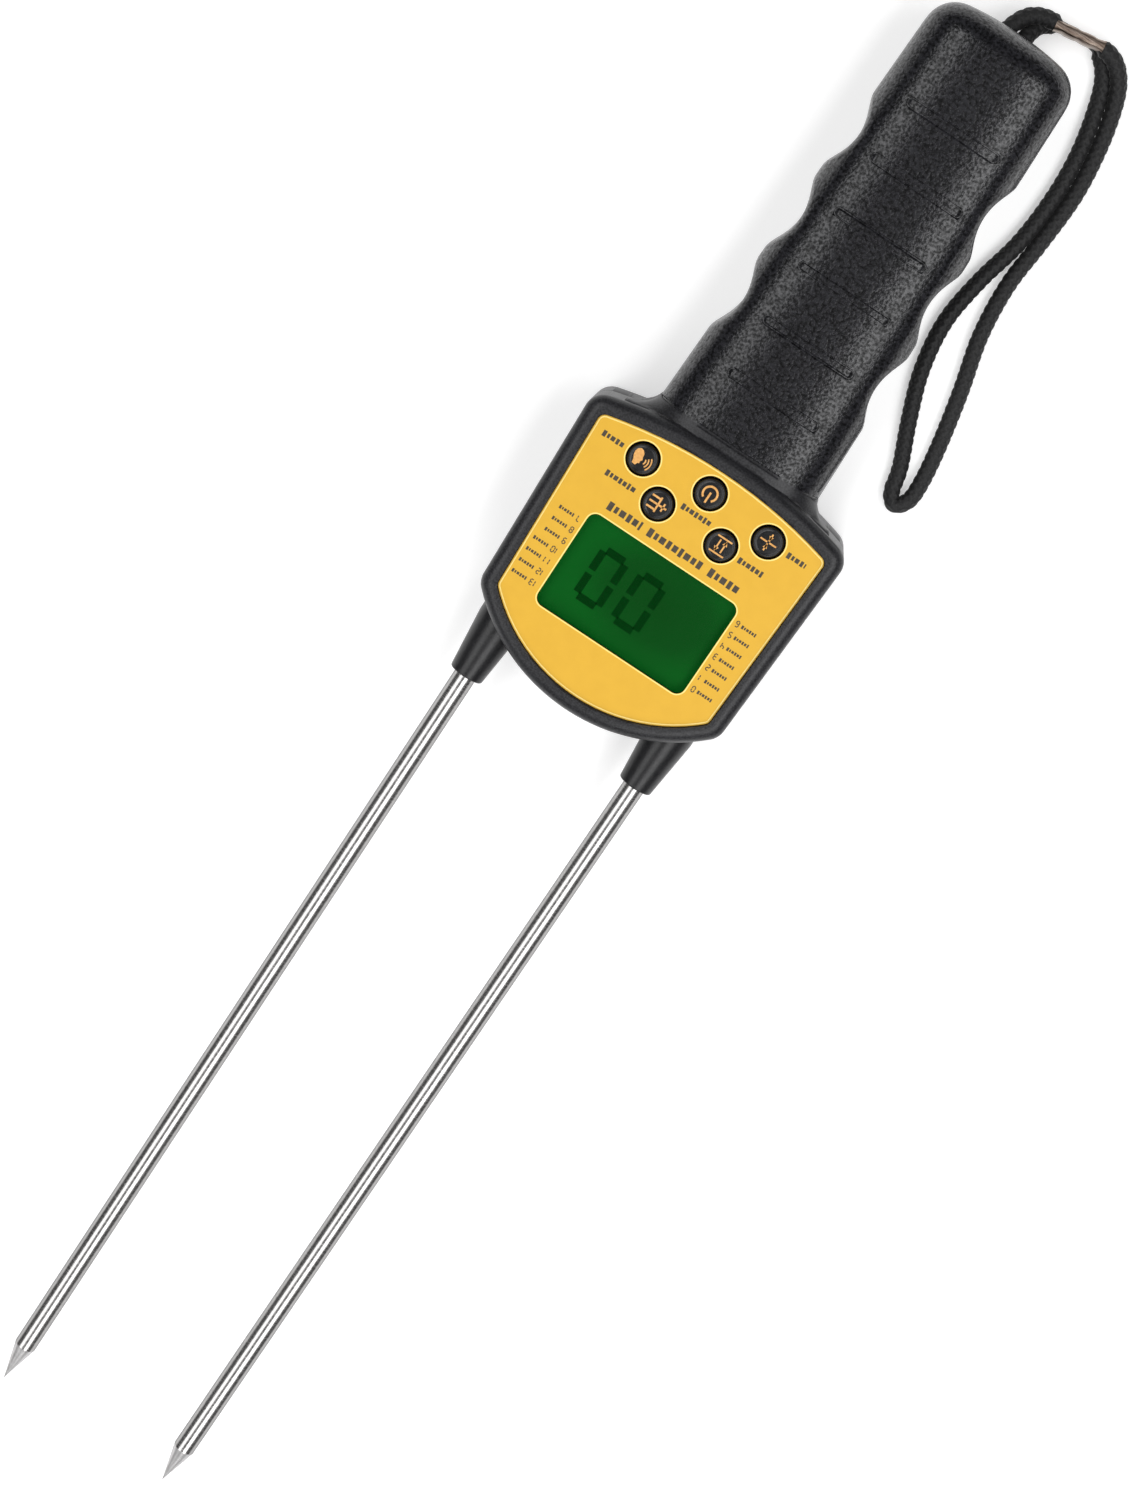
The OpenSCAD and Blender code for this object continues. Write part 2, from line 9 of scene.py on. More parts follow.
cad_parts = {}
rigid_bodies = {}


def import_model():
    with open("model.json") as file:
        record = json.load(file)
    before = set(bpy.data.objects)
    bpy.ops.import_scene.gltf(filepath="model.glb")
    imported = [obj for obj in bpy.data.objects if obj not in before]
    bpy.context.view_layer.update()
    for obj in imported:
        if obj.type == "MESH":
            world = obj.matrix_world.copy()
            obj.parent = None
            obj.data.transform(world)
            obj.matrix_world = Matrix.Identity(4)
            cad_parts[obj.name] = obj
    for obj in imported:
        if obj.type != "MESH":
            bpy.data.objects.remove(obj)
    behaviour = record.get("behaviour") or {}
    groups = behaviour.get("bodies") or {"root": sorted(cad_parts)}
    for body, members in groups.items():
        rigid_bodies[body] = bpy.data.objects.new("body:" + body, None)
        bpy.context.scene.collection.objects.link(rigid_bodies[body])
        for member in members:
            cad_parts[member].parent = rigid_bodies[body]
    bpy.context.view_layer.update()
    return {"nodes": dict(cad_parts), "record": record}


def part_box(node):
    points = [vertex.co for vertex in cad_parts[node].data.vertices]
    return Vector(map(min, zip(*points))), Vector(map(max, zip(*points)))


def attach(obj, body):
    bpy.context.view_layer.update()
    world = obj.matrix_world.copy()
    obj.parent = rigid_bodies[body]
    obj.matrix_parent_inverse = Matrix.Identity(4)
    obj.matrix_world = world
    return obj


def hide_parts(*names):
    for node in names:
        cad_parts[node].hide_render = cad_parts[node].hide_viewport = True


for leftover in list(bpy.data.objects):
    bpy.data.objects.remove(leftover)
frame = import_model()
MM = 0.001
KEYS = ("key_sound", "key_power", "key_target", "key_level", "key_adjust")


# ---------- camera: looks down on the face, from the handle's side ----------
CAM_DISTANCE = 0.715
CAM_TILT = math.radians(12.7)
CAM_LEAN = math.radians(1.9)
CAM_ROLL = math.radians(33.86)
CAM_LENS = 67.25
CAM_TARGET = Vector((5.0, 14.5, 16.0)) * MM


def make_camera():
    data = bpy.data.cameras.new("camera")
    data.lens = CAM_LENS
    data.sensor_width = 36
    cam = bpy.data.objects.new("camera", data)
    bpy.context.scene.collection.objects.link(cam)
    back = Vector((-math.tan(CAM_LEAN), math.sin(CAM_TILT), math.cos(CAM_TILT))).normalized()
    right = Vector((0, 1, 0)).cross(back).normalized()
    up = back.cross(right)
    rolled_up = up * math.cos(CAM_ROLL) - right * math.sin(CAM_ROLL)
    rolled_right = rolled_up.cross(back)
    turn = Matrix((rolled_right, rolled_up, back)).transposed().to_4x4()
    cam.matrix_world = Matrix.Translation(CAM_TARGET + back * CAM_DISTANCE) @ turn
    bpy.context.scene.camera = cam


make_camera()
bpy.context.scene.view_settings.view_transform = "Standard"


# ---------- material helpers ----------
class Paint:
    """A node material: a Principled shader and the procedural detail that feeds it."""

    def __init__(self, name, rough, metallic=0.0, **sockets):
        self.mat = bpy.data.materials.new(name)
        self.mat.use_nodes = True
        self.nodes = self.mat.node_tree.nodes
        self.links = self.mat.node_tree.links
        self.shader = self.nodes["Principled BSDF"]
        self.coords = self.nodes.new("ShaderNodeTexCoord").outputs["Object"]
        self.last_bump = None
        self.set("Roughness", rough)
        self.set("Metallic", metallic)
        for socket, value in sockets.items():
            self.set(socket.replace("_", " "), value)

    def set(self, socket, value):
        self.shader.inputs[socket].default_value = value

    def stretched(self, stretch):
        if stretch == (1, 1, 1):
            return self.coords
        node = self.nodes.new("ShaderNodeMapping")
        node.inputs["Scale"].default_value = stretch
        self.links.new(self.coords, node.inputs["Vector"])
        return node.outputs["Vector"]

    def noise(self, scale, detail=3.0, stretch=(1, 1, 1)):
        node = self.nodes.new("ShaderNodeTexNoise")
        node.inputs["Scale"].default_value = scale
        node.inputs["Detail"].default_value = detail
        self.links.new(self.stretched(stretch), node.inputs["Vector"])
        return node.outputs["Fac"]

    def cells(self, scale):
        node = self.nodes.new("ShaderNodeTexVoronoi")
        node.inputs["Scale"].default_value = scale
        self.links.new(self.coords, node.inputs["Vector"])
        return node.outputs["Distance"]

    def ramp(self, value, stops):
        node = self.nodes.new("ShaderNodeValToRGB")
        ramp = node.color_ramp
        while len(ramp.elements) < len(stops):
            ramp.elements.new(0.5)
        for element, (place, colour) in zip(ramp.elements, stops):
            element.position = place
            element.color = (*colour, 1)
        self.links.new(value, node.inputs["Fac"])
        return node.outputs["Color"]

    def colour(self, value, dark, light, low=0.35, high=0.65):
        self.links.new(self.ramp(value, [(low, dark), (high, light)]), self.shader.inputs["Base Color"])
        return self

    def roughness(self, value, low, high):
        node = self.nodes.new("ShaderNodeMapRange")
        node.inputs["To Min"].default_value = low
        node.inputs["To Max"].default_value = high
        self.links.new(value, node.inputs["Value"])
        self.links.new(node.outputs["Result"], self.shader.inputs["Roughness"])
        return self

    def bump(self, value, height, strength=1.0):
        node = self.nodes.new("ShaderNodeBump")
        node.inputs["Strength"].default_value = strength
        node.inputs["Distance"].default_value = height
        self.links.new(value, node.inputs["Height"])
        if self.last_bump:
            self.links.new(self.last_bump, node.inputs["Normal"])
        self.last_bump = node.outputs["Normal"]
        self.links.new(self.last_bump, self.shader.inputs["Normal"])
        return self


def moulded(name, dark, light, rough, grain=1500, height=0.00006, shine=0.4):
    """Spark-textured plastic: fine pits with slightly smoother high spots; its grain mottle follows the
    bump, so painted shade darkens the pits and a painted highlight lightens the high spots.
    """
    p = Paint(name, rough, Specular_IOR_Level=shine)
    fine = p.noise(grain, 2.0)
    # grain mottle plus painted shade in the pits and a painted highlight on the high spots: the colour
    # reads the same noise as the bump
    p.colour(fine, dark, light)
    p.roughness(p.noise(grain * 0.4), rough - 0.08, rough + 0.1)
    p.bump(p.cells(grain * 0.9), height * 0.7)
    return p.bump(fine, height).mat


def along_y(p, start, end):
    """0 before start and 1 after end along the object's length, in metres."""
    parts = p.nodes.new("ShaderNodeSeparateXYZ")
    p.links.new(p.coords, parts.inputs["Vector"])
    node = p.nodes.new("ShaderNodeMapRange")
    node.inputs["From Min"].default_value = start
    node.inputs["From Max"].default_value = end
    p.links.new(parts.outputs["Y"], node.inputs["Value"])
    return node.outputs["Result"]


def mixed(p, factor, first, second):
    """Blend of two values or colours by a factor."""
    node = p.nodes.new("ShaderNodeMix")
    node.data_type = "RGBA"
    p.links.new(factor, node.inputs["Factor"])
    p.links.new(first, node.inputs["A"])
    p.links.new(second, node.inputs["B"])
    return node.outputs["Result"]


def grey(value):
    return (value, value, value)


def shell_black():
    """Satin head; past the seam the grip has a coarse, pebbled spark texture."""
    p = Paint("shell_black", 0.36)
    on_grip = along_y(p, 0.1031, 0.1035)
    satin, pebble = p.noise(2300, 2.0), p.noise(1350, 2.5)
    # grain mottle plus painted shade in the pits and a painted highlight on the high spots: each colour
    # reads the same noise as its bump
    head = p.ramp(satin, [(0.36, (0.009, 0.009, 0.01)), (0.64, (0.019, 0.019, 0.022))])
    grip = p.ramp(pebble, [(0.38, (0.002, 0.002, 0.0025)), (0.62, (0.015, 0.015, 0.018))])
    p.links.new(mixed(p, on_grip, head, grip), p.shader.inputs["Base Color"])
    head_rough = p.ramp(satin, [(0.3, grey(0.34)), (0.7, grey(0.42))])
    grip_rough = p.ramp(pebble, [(0.35, grey(0.3)), (0.65, grey(0.2))])
    p.links.new(mixed(p, on_grip, head_rough, grip_rough), p.shader.inputs["Roughness"])
    head_shine = p.ramp(satin, [(0.3, grey(0.25)), (0.7, grey(0.4))])
    grip_shine = p.ramp(pebble, [(0.36, grey(0.16)), (0.64, grey(0.52))])
    p.links.new(mixed(p, on_grip, head_shine, grip_shine), p.shader.inputs["Specular IOR Level"])
    coarse = p.ramp(pebble, [(0.32, grey(0)), (0.68, grey(1))])
    fine = p.ramp(satin, [(0.3, grey(0.35)), (0.7, grey(0.65))])
    return p.bump(mixed(p, on_grip, fine, coarse), 0.00004).mat


def plain(name, dark, light, rough, scale=300, metallic=0.0, height=0.00001, stretch=(1, 1, 1)):
    """Smooth stock with slow colour drift and a fine surface."""
    p = Paint(name, rough, metallic)
    p.colour(p.noise(scale, 4.0, stretch), dark, light)
    p.roughness(p.noise(scale * 3, 3.0, stretch), max(rough - 0.06, 0.02), rough + 0.08)
    return p.bump(p.noise(scale * 5, 2.0, stretch), height).mat


def ground_steel(tip_y):
    """Polished bar with fine turning marks; the ground tips are paler and duller."""
    p = Paint("rod_steel", 0.14, 1.0, Specular_Tint=(0.3, 0.3, 0.31, 1))
    on_bar = along_y(p, tip_y - 0.0002, tip_y + 0.0002)
    marks = p.noise(1400, 3.0, (0.2, 5, 0.2))
    bar_tone = p.ramp(marks, [(0.3, (0.36, 0.355, 0.35)), (0.7, (0.5, 0.49, 0.485))])
    tip_tone = p.ramp(marks, [(0.3, (0.62, 0.61, 0.61)), (0.7, (0.8, 0.79, 0.79))])
    p.links.new(mixed(p, on_bar, tip_tone, bar_tone), p.shader.inputs["Base Color"])
    gloss = p.ramp(marks, [(0.3, (0.19, 0.19, 0.19)), (0.7, (0.29, 0.29, 0.29))])
    dull = p.ramp(marks, [(0.3, (0.32, 0.32, 0.32)), (0.7, (0.46, 0.46, 0.46))])
    p.links.new(mixed(p, on_bar, dull, gloss), p.shader.inputs["Roughness"])
    return p.bump(p.noise(2500, 2.0, (0.2, 5, 0.2)), 0.000004).mat


def lcd_green(low, high):
    """Dark green glass, lit from behind and a little brighter towards its edges."""
    p = Paint("lcd_green", 0.4, Specular_IOR_Level=0.08)
    centre, half = (low + high) / 2, (high - low) / 2
    place = p.nodes.new("ShaderNodeMapping")
    place.inputs["Location"].default_value = (-centre.x / half.x - 0.2, -centre.y / half.y - 0.15, 0)
    place.inputs["Scale"].default_value = (1 / half.x, 1 / half.y, 0)
    p.links.new(p.coords, place.inputs["Vector"])
    away = p.nodes.new("ShaderNodeVectorMath")
    away.operation = "LENGTH"
    p.links.new(place.outputs["Vector"], away.inputs[0])
    glow = p.ramp(away.outputs["Value"], [(0.0, (0.0, 0.043, 0.003)), (0.6, (0.0, 0.05, 0.004)),
                                          (1.0, (0.0, 0.075, 0.006))])
    p.links.new(glow, p.shader.inputs["Base Color"])
    p.links.new(glow, p.shader.inputs["Emission Color"])
    p.set("Emission Strength", 0.55)
    return p.bump(p.noise(900), 0.000003).mat


def window_clear():
    p = Paint("window_clear", 0.08, Alpha=0.1, Specular_IOR_Level=0.4)
    p.colour(p.noise(120), (0.0, 0.02, 0.0), (0.0, 0.03, 0.002))
    p.roughness(p.noise(500), 0.05, 0.12)
    return p.bump(p.noise(250), 0.000004).mat


def braid():
    p = Paint("cord_black", 0.6, Specular_IOR_Level=0.35, Sheen_Weight=0.12, Sheen_Roughness=0.4)
    p.colour(p.noise(2600, 3.0), (0.002, 0.002, 0.002), (0.012, 0.012, 0.013))
    return p.bump(p.noise(4500, 2.0), 0.00004).mat


ROD_TIP_L = 12 * MM


def make_materials():
    low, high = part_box("lcd_glass")
    steel = (0.55, 0.55, 0.57), (0.7, 0.7, 0.72)
    return {
        "shell_black": shell_black(),
        "collar_black": moulded("collar_black", (0.004, 0.004, 0.005), (0.010, 0.010, 0.011), 0.34,
                                2000, 0.00001),
        "overlay_yellow": plain("overlay_yellow", (0.65, 0.363, 0.011), (0.67, 0.377, 0.013), 0.45, 260),
        "window_clear": window_clear(),
        "lcd_green": lcd_green(low, high),
        "diffuser": plain("diffuser", (0.6, 0.75, 0.6), (0.7, 0.85, 0.7), 0.6),
        "holder_white": plain("holder_white", (0.7, 0.7, 0.67), (0.77, 0.77, 0.74), 0.5),
        "strip_rubber": plain("strip_rubber", (0.5, 0.25, 0.28), (0.65, 0.34, 0.37), 0.7),
        "board_green": plain("board_green", (0.015, 0.1, 0.04), (0.025, 0.15, 0.06), 0.35, 500),
        "parts_black": plain("parts_black", (0.02, 0.02, 0.02), (0.04, 0.04, 0.04), 0.5, 700),
        "key_black": moulded("key_black", (0.004, 0.004, 0.005), (0.009, 0.009, 0.01), 0.28,
                             2600, 0.000005, 0.35),
        "tray_black": moulded("tray_black", (0.03, 0.03, 0.03), (0.06, 0.06, 0.06), 0.55),
        "cell_jacket": plain("cell_jacket", (0.42, 0.36, 0.07), (0.52, 0.46, 0.1), 0.35),
        "spring_steel": plain("spring_steel", *steel, 0.28, 800, 1.0),
        "rod_steel": ground_steel(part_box("rod_left")[0].y + ROD_TIP_L),
        "nut_brass": plain("nut_brass", (0.6, 0.42, 0.14), (0.72, 0.52, 0.2), 0.3, 700, 1.0),
        "lead_red": plain("lead_red", (0.4, 0.02, 0.02), (0.5, 0.03, 0.03), 0.5),
        "lead_blue": plain("lead_blue", (0.02, 0.05, 0.32), (0.03, 0.07, 0.42), 0.5),
        "lead_maroon": plain("lead_maroon", (0.18, 0.01, 0.01), (0.27, 0.02, 0.02), 0.5),
        "screw_steel": plain("screw_steel", (0.4, 0.4, 0.42), (0.58, 0.58, 0.6), 0.32, 900, 1.0),
        "cord_black": braid(),
        "ferrule_metal": plain("ferrule_metal", (0.14, 0.1, 0.08), (0.38, 0.31, 0.26), 0.34, 700,
                               1.0, 0.00002, (0.25, 3, 3)),
    }


MATERIALS = make_materials()
INK = plain("ink", (0.03, 0.02, 0.008), (0.05, 0.035, 0.015), 0.5, 900)
PALE = plain("pale_line", (0.93, 0.68, 0.18), (0.97, 0.74, 0.24), 0.42, 400)
GOLD = plain("gold_print", (0.6, 0.29, 0.07), (0.76, 0.4, 0.12), 0.4, 1200, 0.15)
SEGMENT = moulded("lcd_segment", (0.0, 0.032, 0.003), (0.0, 0.038, 0.004), 0.6, 900, 0.000002, 0.02)
SLOT_OF = {row["node"]: row["material_slot"] for row in frame["record"]["subparts"]}


def dress(obj, material):
    obj.data.materials.clear()
    obj.data.materials.append(material)


for node, cad in frame["nodes"].items():
    dress(cad, MATERIALS[SLOT_OF[node]])


# ---------- mesh helpers ----------
def add_piece(name, bm, material, body, slot, *replaced, smooth_below=35):
    """Turns bm into a finished piece that rides on a body and stands for the replaced nodes."""
    bmesh.ops.recalc_face_normals(bm, faces=bm.faces)
    mesh = bpy.data.meshes.new(name)
    bm.to_mesh(mesh)
    bm.free()
    mesh.shade_smooth()
    mesh.set_sharp_from_angle(angle=math.radians(smooth_below))
    obj = bpy.data.objects.new(name, mesh)
    bpy.context.scene.collection.objects.link(obj)
    dress(obj, material)
    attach(obj, body)
    if replaced:
        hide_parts(*replaced)
    return obj


def prism(bm, outline, z0, z1):
    """A closed prism over an outline of (x, y) points."""
    low = [bm.verts.new((x, y, z0)) for x, y in outline]
    high = [bm.verts.new((x, y, z1)) for x, y in outline]
    bm.faces.new(low[::-1])
    bm.faces.new(high)
    for i in range(len(outline)):
        j = (i + 1) % len(outline)
        bm.faces.new((low[i], low[j], high[j], high[i]))


def band(bm, inner, outer, z0, z1, closed=True):
    """A flat strip between two lines with as many points each, with some thickness."""
    rows = [[bm.verts.new((x, y, z)) for x, y in line]
            for line, z in ((inner, z0), (outer, z0), (outer, z1), (inner, z1))]
    count = len(inner)
    for i in range(count if closed else count - 1):
        j = (i + 1) % count
        for a, b in ((0, 1), (1, 2), (2, 3), (3, 0)):
            bm.faces.new((rows[a][i], rows[a][j], rows[b][j], rows[b][i]))
    if not closed:
        bm.faces.new([row[0] for row in rows])
        bm.faces.new([row[-1] for row in rows][::-1])


def circle_points(centre, radius, start, end, count):
    step = math.radians(end - start) / count
    first = math.radians(start)
    return [(centre[0] + radius * math.cos(first + i * step),
             centre[1] + radius * math.sin(first + i * step)) for i in range(count + 1)]


def arc_band(bm, centre, radius, width, start, end, z0, z1):
    inner = circle_points(centre, radius - width / 2, start, end, 28)
    outer = circle_points(centre, radius + width / 2, start, end, 28)
    band(bm, inner, outer, z0, z1, closed=False)


def bar(bm, start, end, width, z0, z1):
    a, b = Vector(start), Vector(end)
    side = Vector((a.y - b.y, b.x - a.x)).normalized() * width / 2
    prism(bm, [tuple(p) for p in (a - side, b - side, b + side, a + side)], z0, z1)


def arrow(bm, tip, direction, size, z0, z1):
    t, d = Vector(tip), Vector(direction).normalized()
    side = Vector((-d.y, d.x)) * size * 0.55
    prism(bm, [tuple(p) for p in (t, t - d * size + side, t - d * size - side)], z0, z1)


def lathe(bm, profile, matrix, count=72):
    """Turns (radius, height) points about the matrix's own Z."""
    rings = []
    for radius, height in profile:
        if radius == 0:
            rings.append([bm.verts.new(matrix @ Vector((0, 0, height)))])
            continue
        rings.append([bm.verts.new(matrix @ Vector((radius * math.cos(2 * math.pi * i / count),
                                                    radius * math.sin(2 * math.pi * i / count), height)))
                      for i in range(count)])
    for a, b in zip(rings, rings[1:]):
        for i in range(count):
            j = (i + 1) % count
            if len(a) == 1:
                bm.faces.new((a[0], b[i], b[j]))
            elif len(b) == 1:
                bm.faces.new((a[i], b[0], a[j]))
            else:
                bm.faces.new((a[i], a[j], b[j], b[i]))


# ---------- wrist strap ----------
STRAP_D = 4 * MM
ROUTE = [
    (0, 211.6, 8.5), (-2.6, 213.2, 8.5), (-3.1, 217.5, 8.4), (-2, 223, 8.1),
    (0, 227.4, 7.4), (3.4, 229.7, 6.7), (8, 230.3, 6.4), (13.5, 230.9, 6.4),
    (19, 231.5, 6.3), (24, 230.6, 5.4), (28, 227, 4), (30.8, 221, 2.8),
    (33.3, 211.5, 2.1), (34.9, 199, 2.1), (34.5, 185, 2.1), (33.7, 172, 2.1),
    (35.2, 158, 2.1), (39, 144, 2.1), (42.2, 130, 2.1), (43.9, 119.5, 2.1),
    (43.8, 113.6, 2.1), (41.3, 110.9, 2.1), (38.9, 113.4, 2.1), (37.3, 119.5, 2.1),
    (32.3, 130.8, 2.1), (27.8, 143, 2.1), (25.8, 156, 2.1), (27.2, 169, 2.1),
    (30, 182, 2.1), (30.8, 195, 2.1), (30, 206.5, 2.1), (27.7, 217, 2.1),
    (24.3, 226, 2.1), (19.4, 230.6, 2.3), (13.5, 230.9, 2.4), (8, 230, 2.6),
    (4, 227.6, 4.4), (2.6, 222, 7.2), (3.1, 216.5, 8.5), (0.2, 211.6, 8.5)]


def smooth_path(points, step):
    """Points about step apart on a Catmull-Rom curve through the given ones."""
    p = [Vector(q) * MM for q in points]
    p = [p[0] * 2 - p[1], *p, p[-1] * 2 - p[-2]]
    path = []
    for a, b, c, d in zip(p, p[1:], p[2:], p[3:]):
        count = max(2, round((c - b).length / step))
        for i in range(count):
            t = i / count
            path.append(0.5 * (2 * b + (c - a) * t + (2 * a - 5 * b + 4 * c - d) * t * t
                               + (3 * b - a - 3 * c + d) * t ** 3))
    path.append(p[-2])
    for _ in range(20):
        path = [path[0]] + [(a + 2 * b + c) / 4 for a, b, c in zip(path, path[1:], path[2:])] + [path[-1]]
    return path


def braid_height(angle, along):
    """Two sets of strands that cross: 0 in the gaps and 1 on a strand's back."""
    one = math.cos(5 * angle + along * 2 * math.pi / 0.0022)
    two = math.cos(5 * angle - along * 2 * math.pi / 0.0022)
    return 0.5 + 0.5 * max(one, two)


def make_strap():
    path = smooth_path(ROUTE, 0.3 * MM)
    low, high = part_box("strap_ferrule")
    bm = bmesh.new()
    sides = 30
    rings = []
    along = 0.0
    for i, here in enumerate(path):
        tangent = (path[min(i + 1, len(path) - 1)] - path[max(i - 1, 0)]).normalized()
        flat = tangent.cross(Vector((0, 0, 1))).normalized()
        rise = flat.cross(tangent)
        inside = min(here.x - low.x, high.x - here.x) / (1.5 * MM) if here.y > low.y else 0
        squeeze = 1 - 0.45 * min(max(inside, 0), 1)
        ring = []
        for k in range(sides):
            a = 2 * math.pi * k / sides
            radius = STRAP_D / 2 * (0.94 + 0.16 * braid_height(a, along))
            point = here + flat * math.cos(a) * radius * squeeze + rise * math.sin(a) * radius
            point.z = max(point.z, 0.05 * MM)
            ring.append(bm.verts.new(point))
        rings.append(ring)
        if i + 1 < len(path):
            along += (path[i + 1] - here).length
    for a, b in zip(rings, rings[1:]):
        for k in range(sides):
            m = (k + 1) % sides
            bm.faces.new((a[k], a[m], b[m], b[k]))
    bm.faces.new(rings[0][::-1])
    bm.faces.new(rings[-1])
    strap = add_piece("strap", bm, MATERIALS["cord_black"], "housing", "cord_black", "strap_cord",
                      smooth_below=80)
    return strap, path


def make_ferrule():
    """A flat-crimped tube with rolled ends and three crimp dents along each side."""
    low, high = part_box("strap_ferrule")
    centre = (low + high) / 2
    turn = Matrix.Rotation(math.radians(8), 4, "Z")
    half_l, half_w, half_h, wall = 6.5 * MM, 1.5 * MM, 4.25 * MM, 0.3 * MM
    stations = 40
    bm = bmesh.new()
    rings = []
    for skin in (0, wall):
        rows = []
        for s in range(stations + 1):
            x = -half_l + 2 * half_l * s / stations
            end = max(0, 1 - (half_l - abs(x)) / (0.6 * MM))
            dent = 0.16 * MM * max(0, math.cos(x / half_l * 3 * math.pi)) * (1 - end)
            w, h = half_w + 0.25 * MM * end - dent - skin, half_h - skin
            row = []
            for k in range(32):
                a = 2 * math.pi * k / 32
                y = w * math.copysign(abs(math.cos(a)) ** 0.6, math.cos(a))
                z = h * math.copysign(abs(math.sin(a)) ** 0.6, math.sin(a))
                row.append(bm.verts.new(centre + turn @ Vector((x, y, z))))
            rows.append(row)
        rings.append(rows)
    for rows in rings:
        for a, b in zip(rows, rows[1:]):
            for k in range(32):
                m = (k + 1) % 32
                bm.faces.new((a[k], a[m], b[m], b[k]))
    for end in (0, -1):
        outer, inner = rings[0][end], rings[1][end]
        for k in range(32):
            m = (k + 1) % 32
            bm.faces.new((outer[k], outer[m], inner[m], inner[k]))
    return add_piece("ferrule", bm, MATERIALS["ferrule_metal"], "housing", "ferrule_metal",
                     "strap_ferrule", smooth_below=50)


strap, strap_path = make_strap()
ferrule = make_ferrule()


# ---------- the body's outer skin ----------
MID_Z = 16 * MM
SEAM_Y = 103.3 * MM
HEAD_TOP = 33 * MM
HEAD_EDGE_R = 3.2 * MM
HEAD_CORNER_R = 5 * MM
HEAD_LOW_Y, HEAD_LOW_R = 23.2 * MM, 51.2 * MM
HEAD_HIGH_Y, HEAD_HIGH_R = 101.5 * MM, 130 * MM
HEAD_LOW_HW, HEAD_HIGH_HW = 35.95 * MM, 37.6 * MM
FLANK_LOW_Y, FLANK_HIGH_Y = 40 * MM, 92 * MM
HEAD_LEAN = 2.35 * MM  # how far the lower wall's front edge leans in
GRIP_TOP = 31.6 * MM
GRIP_HW = 23.5 * MM
GRIP_TAPER = math.tan(math.radians(1.71))
GRIP_LOW_Y = 94 * MM
END_Y = 222.45 * MM
END_ARC_R, END_CORNER_R, END_HW = 85 * MM, 8 * MM, 20.15 * MM
DOME_L = 11 * MM
DOME_POWER = 2.6
FRONT_POWER = 3.3
REAR_POWER = 6
SCALLOP_R, SCALLOP_D, SCALLOP_Y, SCALLOP_PITCH = 13.5 * MM, 3 * MM, 134.1 * MM, 24.1 * MM
COVE_R = 7 * MM
COVE_Y = 105.1 * MM
COVE_LOW, COVE_HIGH = 3 * MM, 28.6 * MM
PARTING = 0.22 * MM
RIB_Y, RIB_PITCH, RIB_L, RIB_W = 118.3 * MM, 15.3 * MM, 26 * MM, 2.2 * MM


def smooth_min(a, b, blend):
    h = max(blend - abs(a - b), 0) / blend
    return min(a, b) - h * h * blend / 4


def smooth_step(t):
    t = min(max(t, 0), 1)
    return t * t * (3 - 2 * t)


def dome_share(y):
    """How much of its full height the grip keeps at y, from 1 down to 0 at its end."""
    t = max(0, (y - (END_Y - DOME_L)) / DOME_L)
    return max(0, 1 - t ** DOME_POWER) ** (1 / DOME_POWER)


def flank_x(y):
    return GRIP_HW - (y - SEAM_Y) * GRIP_TAPER


def plan_x(y):
    """Half width of the grip's plan: a leaning flank, a corner arc, then the wide end arc."""
    inner = END_ARC_R - END_CORNER_R
    corner_x = END_HW - END_CORNER_R
    centre_y = END_Y - END_ARC_R
    corner_y = centre_y + math.sqrt(inner ** 2 - corner_x ** 2)
    meet_y = corner_y + END_CORNER_R * (corner_y - centre_y) / inner
    if y >= meet_y:
        return math.sqrt(max(END_ARC_R ** 2 - (y - centre_y) ** 2, (0.1 * MM) ** 2))
    if y > corner_y:
        corner = corner_x + math.sqrt(END_CORNER_R ** 2 - (y - corner_y) ** 2)
        return min(flank_x(y), corner)
    return flank_x(y)


def grip_point(y, angle):
    """A point of the grip's skin; the angle turns about the grip's middle."""
    share = dome_share(y)
    c, s = math.cos(angle), math.sin(angle)
    power = FRONT_POWER if s >= 0 else REAR_POWER
    half_x = plan_x(y)
    half_z = (GRIP_TOP - MID_Z if s >= 0 else MID_Z) * max(share, 0.02)
    reach = (abs(c / half_x) ** power + abs(s / half_z) ** power) ** (-1 / power)
    x, z = reach * abs(c), MID_Z + reach * s
    for i in range(3):
        y0 = SCALLOP_Y + i * SCALLOP_PITCH
        if abs(y - y0) < SCALLOP_R:
            wall = flank_x(y0) + SCALLOP_R - SCALLOP_D - math.sqrt(SCALLOP_R ** 2 - (y - y0) ** 2)
            x = smooth_min(x, wall, 2.2 * MM)
    if y < COVE_Y:
        rise = min(COVE_Y - y, COVE_R)
        flare = max(0, COVE_R - 0.2 * MM - math.sqrt(COVE_R ** 2 - rise ** 2))
        fade = smooth_step((COVE_HIGH - z) / (7 * MM)) * smooth_step((z - COVE_LOW) / (7 * MM))
        x += flare * fade * smooth_step(abs(c) * 3)
    x -= PARTING * max(0, 1 - abs(z - MID_Z) / (0.35 * MM))
    return Vector((math.copysign(x, c), y, z))


def close_rings(bm, rings):
    """Skins rings of equal length and closes both ends."""
    verts = [[bm.verts.new(p) for p in ring] for ring in rings]
    count = len(rings[0])
    for a, b in zip(verts, verts[1:]):
        for i in range(count):
            j = (i + 1) % count
            bm.faces.new((a[i], a[j], b[j], b[i]))
    bm.faces.new(verts[0][::-1])
    bm.faces.new(verts[-1])


def grip_skin():
    near = [math.radians(a) for a in (0.45, 0.9, 1.8)]
    angles = sorted(set([math.radians(a) for a in range(0, 360, 4)] + near
                        + [2 * math.pi - a for a in near]
                        + [math.pi + a for a in near] + [math.pi - a for a in near]))
    straight = END_Y - DOME_L - GRIP_LOW_Y
    ys = [GRIP_LOW_Y + straight * i / 140 for i in range(140)]
    ys += [END_Y - DOME_L * (1 - i / 30) ** 2.2 for i in range(30)]
    bm = bmesh.new()
    close_rings(bm, [[grip_point(y, a) for a in angles] for y in ys])
    return bm


